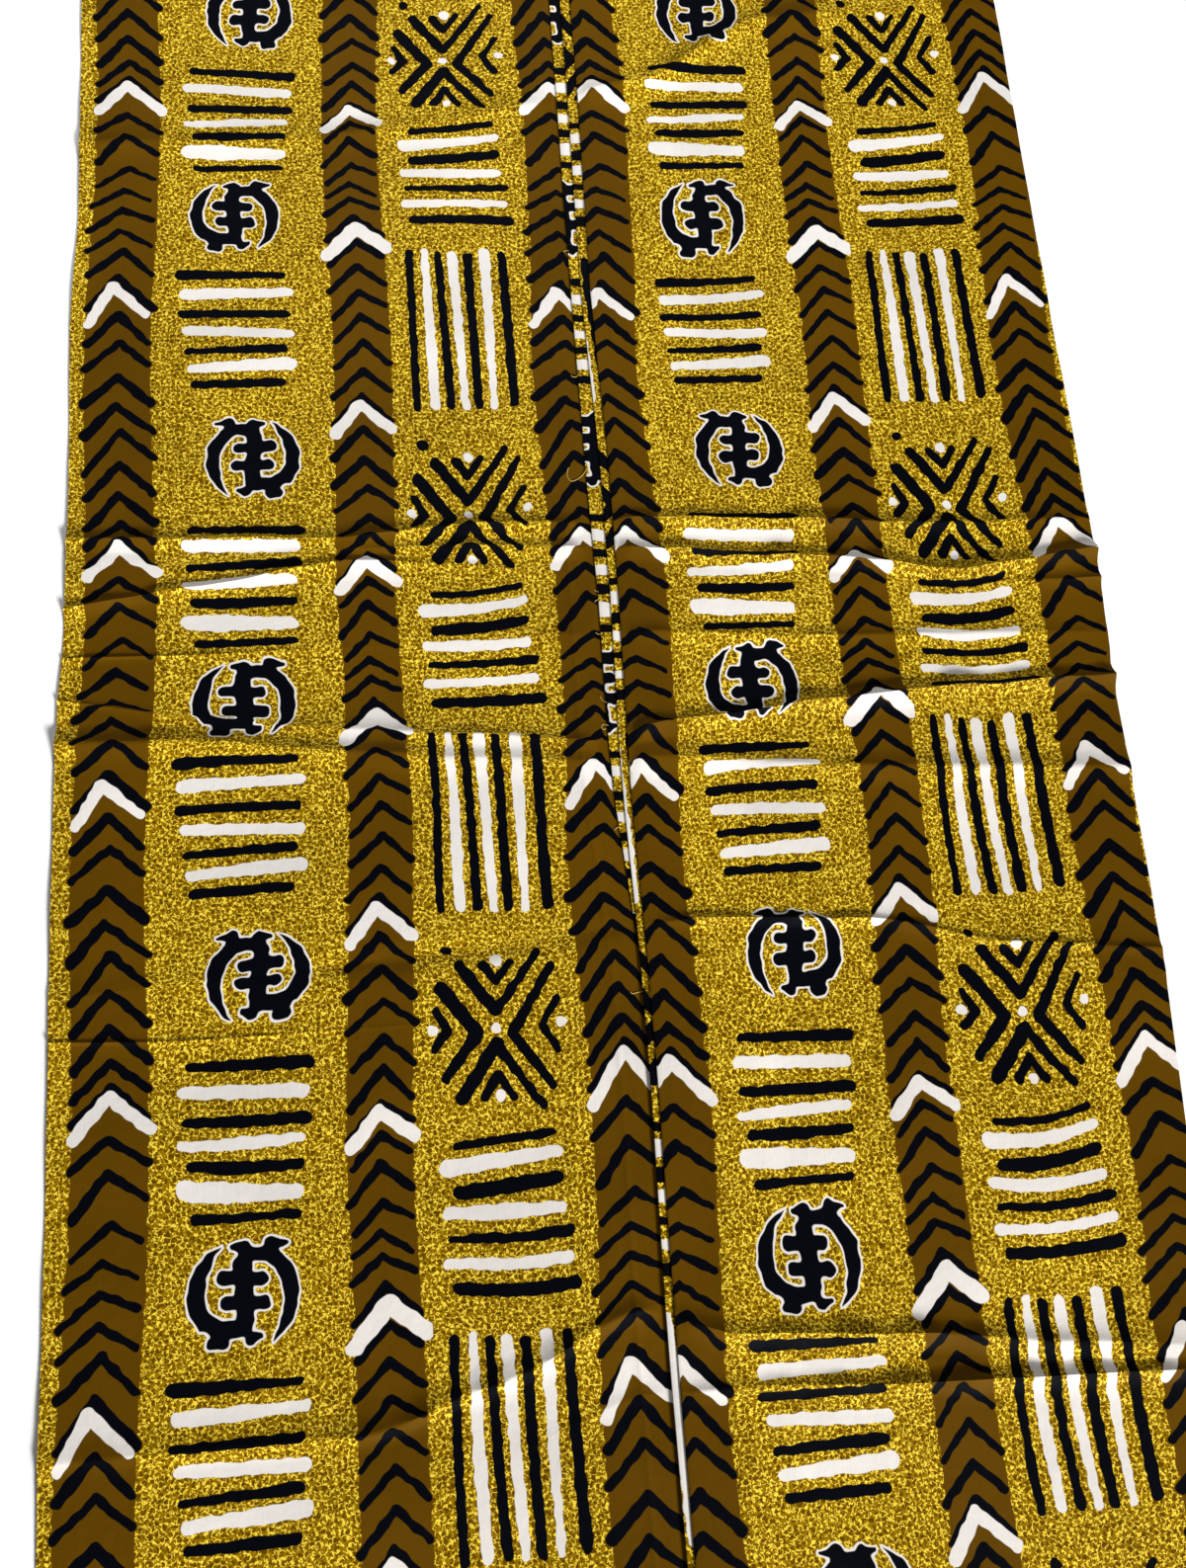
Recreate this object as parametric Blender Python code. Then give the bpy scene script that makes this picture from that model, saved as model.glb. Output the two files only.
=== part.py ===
"""A length of printed cotton cloth, laid face up on a flat surface with its spare width pleated away.

The cloth is one piece. It lies in a single layer at both sides. Along the middle it is
folded over itself in three knife pleats that run the whole length, so that two narrow
strips of it show between the left panel and the right panel, and seven layers lie on
each other there. A few soft creases and two sharp ledges cross it.

+X runs across the cloth, +Y along it, +Z up. The surface it lies on is z = 0.
"""

import bmesh
import bpy
from math import cos, pi, sin
from mathutils import Vector

# Driving sizes, in metres.
THICKNESS = 0.0010
LAYER_PITCH = 0.0014
LENGTH = 1.375
PRINT_WIDTH = 0.367

# How much of the cloth's width lies out of sight under each pleat, in widths of the printed repeat.
PLEAT_DEPTHS = {"strip_1": 0.119 * PRINT_WIDTH, "strip_2": 0.211 * PRINT_WIDTH, "panel": 0.136 * PRINT_WIDTH}

# Where the cloth above steps down past a hidden fold.
STEP_START = 0.0015
STEP_LENGTH = 0.0080

# A crease on the left panel dies out before it goes under the first strip.
FADE_OUT = (0.045, 0.012)
# A crease on the right panel rises from the panel's folded edge.
FADE_IN = 0.015

COLUMNS_LEFT = 8
COLUMNS_RIGHT = 8
LONGEST_ROW_GAP = 0.075

# The five lines that run down the cloth, with a row for each place where they were settled.
LINES_COLUMNS = ("y", "left_edge", "strip_1", "strip_2", "panel", "right_edge")
LINES = (
    (0.6875, -0.4178, -0.0030, 0.0066, 0.0150, 0.4150),
    (0.5500, -0.4150, -0.0031, 0.0066, 0.0155, 0.4178),
    (0.4700, -0.4148, -0.0034, 0.0060, 0.0145, 0.4174),
    (0.3500, -0.4190, -0.0033, 0.0052, 0.0129, 0.4180),
    (0.1800, -0.4158, -0.0022, 0.0098, 0.0166, 0.4198),
    (0.0700, -0.4168, 0.0000, 0.0097, 0.0161, 0.4205),
    (-0.0500, -0.4195, -0.0006, 0.0075, 0.0141, 0.4172),
    (-0.1100, -0.4205, 0.0015, 0.0078, 0.0136, 0.4174),
    (-0.2300, -0.4192, 0.0112, 0.0108, 0.0158, 0.4176),
    (-0.3400, -0.4176, 0.0118, 0.0108, 0.0160, 0.4130),
    (-0.4700, -0.4172, 0.0102, 0.0088, 0.0146, 0.4106),
    (-0.6875, -0.4150, 0.0108, 0.0102, 0.0150, 0.4120),
)

# The creases that cross the cloth, top to bottom: where each crest lies at the left edge, at the
# pleats and at the right edge, how high it stands on either panel, and how far its foot lies from
# its crest on the far side and on the near side.
CREASE_COLUMNS = ("y_left", "y_pleats", "y_right", "height_left", "height_right", "far", "near")
CREASES = (
    (0.505, 0.558, 0.640, 0.0020, 0.0018, 0.030, 0.026),
    (0.131, 0.138, 0.131, 0.0030, 0.0045, 0.016, 0.0045),
    (0.076, 0.107, 0.090, 0.0045, 0.0050, 0.011, 0.0050),
    (-0.004, -0.034, -0.010, 0.0028, 0.0040, 0.018, 0.0080),
    (-0.050, -0.068, -0.090, 0.0022, 0.0026, 0.014, 0.0160),
    (-0.238, -0.202, -0.236, 0.0026, 0.0026, 0.022, 0.0100),
    (-0.500, -0.468, -0.512, 0.0016, 0.0024, 0.012, 0.0120),
    (-0.556, -0.508, -0.560, 0.0030, 0.0038, 0.014, 0.0120),
)

CLOTH_COLOUR = (0.52, 0.36, 0.02, 1.0)


def ease(t):
    t = min(max(t, 0.0), 1.0)
    return t * t * (3.0 - 2.0 * t)


def line_places(y):
    """The places across the cloth of its five lines at y."""
    for above, below in zip(LINES[:-1], LINES[1:]):
        if y >= below[0]:
            t = ease((above[0] - y) / (above[0] - below[0]))
            values = [a + (b - a) * t for a, b in zip(above, below)]
            return dict(zip(LINES_COLUMNS, values))
    return dict(zip(LINES_COLUMNS, LINES[-1]))


def hidden_folds(lines):
    """The places across the cloth of the three folds out of sight, each right of its own strip."""
    return {name: lines[name] + depth for name, depth in PLEAT_DEPTHS.items()}


def step_knots(folds):
    """Where the cloth above starts and ends each step down, left to right."""
    places = [folds[name] + start for name in PLEAT_DEPTHS for start in (STEP_START, STEP_START + STEP_LENGTH)]
    return sorted(places)


def layer_height(x, below, folds):
    """The height of a layer's middle at x, where below names the pleats that lie under it."""
    z = THICKNESS / 2
    for name in below:
        t = (x - folds[name] - STEP_START) / STEP_LENGTH
        z += 2 * LAYER_PITCH * (1.0 - min(max(t, 0.0), 1.0))
    return z


def spread(start, end, count):
    """Evenly spaced places from start to end, both included."""
    return [start + (end - start) * i / count for i in range(count + 1)]


def half_turn(x, z, outward):
    """Two points of a fold's round edge, from the layer at z up to the next one."""
    radius = LAYER_PITCH / 2
    middle = z + radius
    return [(x + outward * radius * cos(a), middle + radius * sin(a)) for a in (-pi / 6, pi / 6)]


def section(y):
    """The cloth cut across at y: rows of x, height over the surface, and the panel it shows on."""
    lines = line_places(y)
    folds = hidden_folds(lines)
    knots = step_knots(folds)
    strip_1, strip_2, panel = lines["strip_1"], lines["strip_2"], lines["panel"]
    points = []

    def run(places, below, lift, shows=None):
        for x in places:
            points.append((x, layer_height(x, below, folds) + lift * LAYER_PITCH, shows))

    def turn(x, outward):
        z = points[-1][1]
        points.extend((tx, tz, None) for tx, tz in half_turn(x, z, outward))

    # The left panel, then under the first strip to the first hidden fold and back.
    fade_start = strip_1 - FADE_OUT[0]
    run(spread(lines["left_edge"], fade_start, COLUMNS_LEFT), (), 0, "left")
    run((strip_1 - FADE_OUT[1], folds["strip_1"]), (), 0, "left")
    turn(folds["strip_1"], 1)
    run((folds["strip_1"], strip_1), (), 1)
    turn(strip_1, -1)
    # The first strip, right over the first hidden fold to the second and back.
    inner = [k for k in knots if k < folds["strip_2"]]
    run([strip_1] + inner + [folds["strip_2"]], ("strip_1",), 0)
    turn(folds["strip_2"], 1)
    run([folds["strip_2"]] + inner[::-1] + [strip_2], ("strip_1",), 1)
    turn(strip_2, -1)
    # The second strip, to the third hidden fold and back.
    inner = [k for k in knots if k < folds["panel"]]
    run([strip_2] + inner + [folds["panel"]], ("strip_1", "strip_2"), 0)
    turn(folds["panel"], 1)
    run([folds["panel"]] + inner[::-1] + [panel], ("strip_1", "strip_2"), 1)
    turn(panel, -1)
    # The right panel, down over all three to the surface.
    below = ("strip_1", "strip_2", "panel")
    run([panel, panel + FADE_IN] + knots, below, 0, "right")
    run(spread(knots[-1], lines["right_edge"], COLUMNS_RIGHT)[1:], below, 0, "right")
    return points


def place_along(row, x, lines):
    """Where a row of points that runs across the cloth lies along it at x."""
    y_left, y_pleats, y_right = row
    if x < 0.0:
        return y_pleats + (y_left - y_pleats) * x / lines["left_edge"]
    return y_pleats + (y_right - y_pleats) * x / lines["right_edge"]


def rows_along():
    """Every row of points across the cloth, top to bottom, with its heights on either panel."""
    rows = [((LENGTH / 2,) * 3, 0.0, 0.0)]
    for crease in CREASES:
        c = dict(zip(CREASE_COLUMNS, crease))
        crest = (c["y_left"], c["y_pleats"], c["y_right"])
        rows.append((tuple(y + c["far"] for y in crest), 0.0, 0.0))
        rows.append((crest, c["height_left"], c["height_right"]))
        rows.append((tuple(y - c["near"] for y in crest), 0.0, 0.0))
    rows.append(((-LENGTH / 2,) * 3, 0.0, 0.0))
    filled = [rows[0]]
    for row in rows[1:]:
        above = filled[-1]
        gap = max(a - b for a, b in zip(above[0], row[0]))
        count = int(gap / LONGEST_ROW_GAP)
        for i in range(1, count + 1):
            t = i / (count + 1)
            filled.append((tuple(a + (b - a) * t for a, b in zip(above[0], row[0])), 0.0, 0.0))
        filled.append(row)
    return filled


def crease_height(x, shows, lines, height_left, height_right):
    """How far a crest lifts the cloth at x."""
    if shows == "left":
        start = lines["strip_1"] - FADE_OUT[0]
        end = lines["strip_1"] - FADE_OUT[1]
        return height_left * (1.0 - min(max((x - start) / (end - start), 0.0), 1.0))
    if shows == "right":
        return height_right * min(max((x - lines["panel"]) / FADE_IN, 0.0), 1.0)
    return 0.0


def cloth_mesh():
    """The middle surface of the cloth, its columns down the cloth and its rows across it."""
    bm = bmesh.new()
    grid = []
    for row, height_left, height_right in rows_along():
        y_pleats = row[1]
        lines = line_places(y_pleats)
        line = []
        for x, z, shows in section(y_pleats):
            y = place_along(row, x, lines)
            z += crease_height(x, shows, lines, height_left, height_right)
            line.append(bm.verts.new(Vector((x, y, z))))
        grid.append(line)
    for upper, lower in zip(grid[:-1], grid[1:]):
        for i in range(len(upper) - 1):
            bm.faces.new((upper[i], lower[i], lower[i + 1], upper[i + 1]))
    mesh = bpy.data.meshes.new("cloth")
    bm.to_mesh(mesh)
    bm.free()
    return mesh


def cotton():
    material = bpy.data.materials.new("printed_cotton")
    material.use_nodes = True
    shader = material.node_tree.nodes["Principled BSDF"]
    shader.inputs["Base Color"].default_value = CLOTH_COLOUR
    shader.inputs["Roughness"].default_value = 0.75
    shader.inputs["Metallic"].default_value = 0.0
    return material


def cloth():
    mesh = cloth_mesh()
    piece = bpy.data.objects.new("cloth", mesh)
    bpy.context.scene.collection.objects.link(piece)
    mesh.materials.append(cotton())
    mesh.shade_smooth()
    mesh.set_sharp_from_angle(angle=pi / 6)
    thick = piece.modifiers.new("thickness", "SOLIDIFY")
    thick.thickness = THICKNESS
    thick.offset = 0.0
    thick.use_even_offset = True
    thick.use_quality_normals = True
    return piece


for old in list(bpy.data.objects):
    bpy.data.objects.remove(old, do_unlink=True)
cloth()
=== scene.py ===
"""A length of African wax print cloth, pleated along its middle and laid flat on a pale floor.

Sizes are in metres, and the print is in millimetres. +X runs across the cloth, +Y along it, +Z up.
"""

from math import cos, pi, radians, sin

import bmesh
import bpy
import numpy as np
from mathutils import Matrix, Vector


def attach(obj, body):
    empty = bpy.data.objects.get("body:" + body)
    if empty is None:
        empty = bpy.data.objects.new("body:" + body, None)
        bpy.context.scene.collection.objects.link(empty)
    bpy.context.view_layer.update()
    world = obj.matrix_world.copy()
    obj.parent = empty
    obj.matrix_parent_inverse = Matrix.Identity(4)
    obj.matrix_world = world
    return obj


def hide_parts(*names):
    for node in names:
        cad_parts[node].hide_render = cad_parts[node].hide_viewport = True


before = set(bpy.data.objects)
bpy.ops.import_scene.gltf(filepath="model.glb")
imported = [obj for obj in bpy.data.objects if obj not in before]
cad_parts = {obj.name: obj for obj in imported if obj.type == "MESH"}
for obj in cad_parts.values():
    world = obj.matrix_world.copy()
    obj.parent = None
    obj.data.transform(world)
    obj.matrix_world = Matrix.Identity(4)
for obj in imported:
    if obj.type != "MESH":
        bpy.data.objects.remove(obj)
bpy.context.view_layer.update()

# The cloth. A yard and a half of 46 inch cotton, folded over itself in three lengthwise
# knife pleats along its middle and laid flat, with the creases of its old folds across it.
# It is plain woven, 0.4 mm thick, and both long edges are its own selvedges.
cloth_thickness = 0.0004
cloth_clearance = 0.0001
layer_pitch = 0.0008
cloth_length = 1.375

# The five lines that run down the cloth, in the places where they were settled.
line_columns = ("y", "left_edge", "strip_1", "strip_2", "panel", "right_edge")
line_rows = np.array((
    (0.6875, -0.4178, -0.0030, 0.0066, 0.0150, 0.4150),
    (0.5500, -0.4150, -0.0031, 0.0066, 0.0155, 0.4178),
    (0.4700, -0.4148, -0.0034, 0.0060, 0.0145, 0.4174),
    (0.3500, -0.4190, -0.0033, 0.0052, 0.0129, 0.4180),
    (0.1800, -0.4158, -0.0022, 0.0098, 0.0166, 0.4198),
    (0.0700, -0.4168, 0.0000, 0.0097, 0.0161, 0.4205),
    (-0.0500, -0.4195, -0.0006, 0.0075, 0.0141, 0.4172),
    (-0.1100, -0.4205, 0.0015, 0.0078, 0.0136, 0.4174),
    (-0.2300, -0.4192, 0.0112, 0.0108, 0.0158, 0.4176),
    (-0.3400, -0.4176, 0.0118, 0.0108, 0.0160, 0.4130),
    (-0.4700, -0.4172, 0.0102, 0.0088, 0.0146, 0.4106),
    (-0.6875, -0.4150, 0.0108, 0.0102, 0.0150, 0.4120),
))

# How far the cloth runs out of sight under each pleat, to its hidden fold.
pleat_depths = {"strip_1": 0.0437, "strip_2": 0.0774, "panel": 0.0499}

# The creases across the cloth, top to bottom. Each has the place along the cloth of its crest and the
# crest's height, in parts of crease_scale, at nine places across, the width of its far side and of its
# near side there, how sharp the crest is, and how much of the print it takes up, in millimetres.
crease_scale = 0.00165
places_across = (-0.420, -0.320, -0.200, -0.110, -0.010, 0.060, 0.190, 0.300, 0.420)
crease_columns = ("name", "crest", "height", "far", "near", "sharp", "take_up")
crease_rows = (
    ("old fold at the top", (0.499, 0.504, 0.510, 0.524, 0.545, 0.562, 0.638, 0.652, 0.662),
     (2.4, 2.0, 2.4, 2.2, 1.8, 3.6, 3.6, 0.8, 0.4), 0.022, 0.020, 0.5, 0.0),
    ("upper ledge", (0.129, 0.127, 0.124, 0.134, 0.134, 0.134, 0.130, 0.125, 0.128),
     (3.2, 3.2, 3.2, 3.4, 3.0, 4.2, 4.4, 3.2, 1.2), 0.012, 0.012, 0.6, 4.2),
    ("middle ledge", (0.104, 0.106, 0.115, 0.116, 0.112, 0.106, 0.097, 0.082, 0.098),
     (0.0, 0.0, 1.2, 2.6, 2.4, 4.0, 4.6, 4.6, 3.8), 0.010, 0.012, 0.6, 4.9),
    ("crumple below it", (0.070, 0.085, 0.104, 0.100, 0.090, 0.086, 0.080, 0.072, 0.073),
     (2.8, 3.2, 3.4, 0.8, 0.0, 0.0, 0.0, 0.0, 2.2), 0.008, 0.009, 0.7, 0.0),
    ("thin line", (0.030, 0.029, 0.032, 0.036, 0.037, 0.034, 0.029, 0.027, 0.026),
     (1.2, 1.1, 0.2, 0.0, 0.8, 2.2, 2.4, 1.8, 0.6),
     (0.0025, 0.0025, 0.006, 0.012, 0.012, 0.012, 0.012, 0.012, 0.012),
     (0.0025, 0.0025, 0.006, 0.014, 0.014, 0.014, 0.014, 0.014, 0.014), 0.7, 0.0),
    ("slanted ledge", (-0.005, -0.021, -0.036, -0.044, -0.053, -0.039, -0.026, -0.018, -0.014),
     (1.1, 0.4, 1.6, 2.4, 2.2, 3.4, 4.6, 4.6, 4.0),
     (0.0025, 0.008, 0.012, 0.012, 0.010, 0.010, 0.011, 0.012, 0.012),
     (0.0025, 0.008, 0.014, 0.014, 0.012, 0.014, 0.014, 0.014, 0.014), 0.6, 7.6),
    ("swell below it", (-0.040, -0.042, -0.055, -0.063, -0.069, -0.070, -0.082, -0.087, -0.092),
     (3.6, 3.8, 3.2, 2.2, 1.8, 2.6, 2.8, 2.6, 2.0), 0.016, 0.018, 0.5, 5.0),
    ("trough and thin fold", (-0.232, -0.226, -0.218, -0.211, -0.202, -0.198, -0.204, -0.228, -0.239),
     (0.7, 0.7, -1.6, -2.2, -1.0, 2.4, 2.4, 1.6, 1.2),
     (0.014, 0.014, 0.014, 0.014, 0.010, 0.006, 0.006, 0.006, 0.006),
     (0.014, 0.014, 0.014, 0.014, 0.010, 0.009, 0.009, 0.009, 0.009), 0.6, 4.0),
    ("lower thin line", (-0.264, -0.268, -0.266, -0.264, -0.262, -0.264, -0.266, -0.268, -0.270),
     (1.2, 1.0, 0.2, 0.0, 0.0, 0.0, 0.0, 0.0, 0.0), 0.003, 0.003, 0.7, 0.0),
    ("low fold", (-0.542, -0.542, -0.541, -0.515, -0.474, -0.495, -0.504, -0.518, -0.530),
     (0.8, 1.8, 2.6, 2.8, 2.2, 3.4, 3.8, 2.0, 0.4),
     (0.018, 0.018, 0.018, 0.018, 0.014, 0.012, 0.012, 0.012, 0.012),
     (0.009, 0.009, 0.009, 0.009, 0.012, 0.014, 0.014, 0.014, 0.014), 0.6, 2.2),
    ("low ripple", (-0.580, -0.578, -0.574, -0.560, -0.530, -0.530, -0.537, -0.540, -0.544),
     (0.0, 0.0, 0.0, 0.0, 0.5, 1.6, 3.4, 3.2, 2.0), 0.009, 0.012, 0.7, 2.0),
)


def eased(t):
    """A share from 0 to 1 that starts and ends softly."""
    t = np.clip(t, 0.0, 1.0)
    return t * t * (3.0 - 2.0 * t)


def across(values, x):
    """Values given at the nine places across, read at x with soft turns between them."""
    i = np.clip(np.searchsorted(places_across, x) - 1, 0, len(places_across) - 2)
    places = np.array(places_across)
    values = np.array(values)
    t = np.clip((x - places[i]) / (places[i + 1] - places[i]), 0.0, 1.0)
    return values[i] + (values[i + 1] - values[i]) * (0.5 * t + 0.5 * eased(t))


def line_at(name, y):
    """Where one of the five lines lies across the cloth at y."""
    return float(np.interp(-y, -line_rows[:, 0], line_rows[:, line_columns.index(name)]))


creases = [dict(zip(crease_columns, row)) for row in crease_rows]


def crest_wobble(x, order):
    """How unevenly a crest's height runs across the cloth, around 1, different for each crease."""
    slow = 0.16 * np.sin(x * (61.0 + 7.0 * order) + order)
    quick = 0.10 * np.sin(x * 143.0 + 2.0 * order)
    return 1.0 + slow + quick


def crease_lift(x, y):
    """How far the creases raise the cloth at each x and y."""
    lift = np.zeros_like(x)
    for order, crease in enumerate(creases):
        height = crease_scale * across(crease["height"], x) * crest_wobble(x, order)
        away = y - across(crease["crest"], x)
        far, near = (across(np.broadcast_to(crease[side], len(places_across)), x) for side in ("far", "near"))
        share = np.clip(1.0 - np.where(away > 0.0, away / far, -away / near), 0.0, 1.0)
        lift += height * (crease["sharp"] * share ** 2 + (1.0 - crease["sharp"]) * eased(share))
    return lift


# The slow waves of cloth that lies loosely: radians per metre across and along, and where each starts.
swell_height = 0.0004
swell_columns = ("across", "along", "start")
swell_rows = ((11.0, 37.0, 0.4), (-23.0, 19.0, 1.9), (31.0, 47.0, 3.1), (7.0, -71.0, 5.2), (53.0, 29.0, 0.9))
swells = [dict(zip(swell_columns, row)) for row in swell_rows]


def swell(x, y):
    """The slow rise and fall of the cloth, never below nothing."""
    return swell_height * sum(1.0 + np.sin(w["across"] * x + w["along"] * y + w["start"]) for w in swells)


# Where a crease takes up its print, around its crest: a ledge's tuck is short, and another crease's is soft.
ledge_tuck = (-0.0030, 0.0015)
soft_tuck = (-0.006, 0.006)


def print_shift(x, y):
    """How much of the print has gone into the creases above y, in millimetres."""
    taken = np.zeros_like(x)
    for crease in creases:
        below = across(crease["crest"], x) - y
        start, end = ledge_tuck if crease["name"].endswith("ledge") else soft_tuck
        taken += crease["take_up"] * eased((below - start) / (end - start))
    return taken


# The rows of points across the cloth lie closer together towards each crest.
row_gap = 0.0098
end_width = 0.001
crest_shares = (0.12, 0.3, 0.6, 1.0)


def side_fit(width, gap):
    """How far a crease's side is drawn in, so that it keeps to its own half of the gap to the next one."""
    return np.minimum(1.0, 0.45 * gap / (1.1 * width))


def rows_down():
    """Every row of points across the cloth, top to bottom, each as its place along at the nine places."""
    top = np.full(len(places_across), cloth_length / 2)
    crests = [(top, end_width, end_width)]
    crests += [tuple(np.array(c[name]) for name in ("crest", "far", "near")) for c in creases]
    crests += [(-top, end_width, end_width)]
    rows = [top]
    for (upper, _, near), (lower, far, _) in zip(crests[:-1], crests[1:]):
        gap = upper - lower
        below = [upper - share * near * side_fit(near, gap) for share in crest_shares]
        above = [lower + share * far * side_fit(far, gap) for share in crest_shares[::-1]]
        count = int(np.max(below[-1] - above[0]) / row_gap)
        filled = [below[-1] + (above[0] - below[-1]) * i / (count + 1) for i in range(1, count + 1)]
        rows += below + filled + above + [lower]
    return rows


# Where the weave, and the print with it, has been pulled out of square. Each tug has its middle, how far it
# reaches across and along, and how far it moves the print at its middle, across and along, in millimetres.
tug_columns = ("x", "y", "reach_x", "reach_y", "across", "along")
tug_rows = (
    (-0.24, 0.60, 0.17, 0.13, 0.0, -11.0), (-0.10, 0.60, 0.04, 0.08, 0.0, -5.0),
    (0.04, 0.60, 0.05, 0.06, -1.0, -7.0), (0.31, 0.60, 0.05, 0.08, 0.0, -6.0),
    (0.40, 0.60, 0.05, 0.08, 0.0, 13.0), (-0.10, 0.58, 0.06, 0.10, 2.5, 0.0),
    (0.12, 0.54, 0.06, 0.08, -2.5, 0.0), (0.27, 0.44, 0.09, 0.05, 0.0, -7.0),
    (-0.01, 0.38, 0.03, 0.08, -2.0, 0.0), (0.04, 0.36, 0.08, 0.07, -2.0, -14.0),
    (0.14, 0.36, 0.05, 0.07, 0.0, -5.0), (0.18, 0.25, 0.20, 0.11, 4.5, 0.0),
    (0.40, 0.20, 0.04, 0.18, 2.0, 6.0), (-0.01, 0.14, 0.03, 0.08, 0.0, 4.0),
    (-0.19, 0.13, 0.04, 0.06, -3.0, 0.0), (-0.10, 0.12, 0.05, 0.10, 0.0, -8.0),
    (0.31, 0.08, 0.05, 0.10, 4.5, -11.0), (-0.38, 0.04, 0.04, 0.03, 0.0, 8.0),
    (-0.24, 0.00, 0.09, 0.07, -8.0, -2.0), (-0.38, -0.05, 0.05, 0.05, 0.0, -6.0),
    (-0.01, -0.06, 0.06, 0.06, -5.0, 0.0), (0.04, -0.08, 0.04, 0.07, 0.0, -8.0),
    (-0.17, -0.10, 0.06, 0.04, -3.0, 0.0), (0.30, -0.10, 0.05, 0.08, 4.0, -6.0),
    (-0.20, -0.22, 0.12, 0.10, -1.5, 6.5), (-0.01, -0.28, 0.03, 0.09, -3.0, 13.0),
    (0.22, -0.30, 0.16, 0.16, 4.5, 0.0), (0.30, -0.35, 0.05, 0.12, 0.0, -11.0),
    (-0.36, -0.36, 0.05, 0.05, 0.0, 7.0), (-0.27, -0.43, 0.06, 0.06, -4.5, 0.0),
    (-0.09, -0.45, 0.05, 0.04, 0.0, -6.0), (0.16, -0.47, 0.15, 0.05, 0.0, -7.0),
    (-0.01, -0.50, 0.03, 0.08, 0.0, 5.0), (0.04, -0.50, 0.05, 0.12, 3.0, 0.0),
    (0.26, -0.56, 0.09, 0.11, 8.0, 0.0), (-0.18, -0.57, 0.12, 0.06, 2.0, 4.0),
)
tugs = [dict(zip(tug_columns, row)) for row in tug_rows]


def pulled(side, x, y):
    """How far the tugs move the print at x and y, in millimetres."""
    moved = 0.0
    for tug in tugs:
        off = ((x - tug["x"]) / tug["reach_x"]) ** 2 + ((y - tug["y"]) / tug["reach_y"]) ** 2
        moved = moved + tug[side] * np.exp(-off)
    return moved


# The print repeats across and along the cloth, in millimetres. Across, each repeat has four kinds of
# column, and here is where each kind ends. Along, a column is in parts, and here is where they start.
repeat_across = 367.0
repeat_along = 450.0
column_gap = 8.0
column_ends = (64.5, 182.0, 250.0, repeat_across - column_gap)
part_starts = (
    (-120.0, 30.0, 180.0),
    (-158.0, -49.5, 52.0, 178.0),
    (-120.0, 30.0, 180.0),
    (-100.0, 24.0, 200.0),
)

# Where the print starts: on the left panel, on the right panel as if it ran on to the left, and along the
# cloth. Then the place across the print that shows at the second strip's edge, at places along the cloth.
left_print_start = -0.4044
right_print_start = -0.7356
print_top = 431.3
strip_2_along = (-0.6875, -0.3000, -0.1800, -0.0500, 0.0500, 0.3500)
strip_2_print = (643.0, 645.0, 649.5, 648.0, 647.0, 652.0)


def pulled_ends(print_start, ends, y):
    """Where the ends of the print's columns lie across the cloth at y."""
    square = [print_start + 0.001 * end for end in ends]
    return [x - 0.001 * float(pulled("across", x, y)) for x in square]


def fill(start, end, count):
    """Evenly spaced places from start up to end, which is left out."""
    return [start + (end - start) * i / count for i in range(count)]


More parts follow.
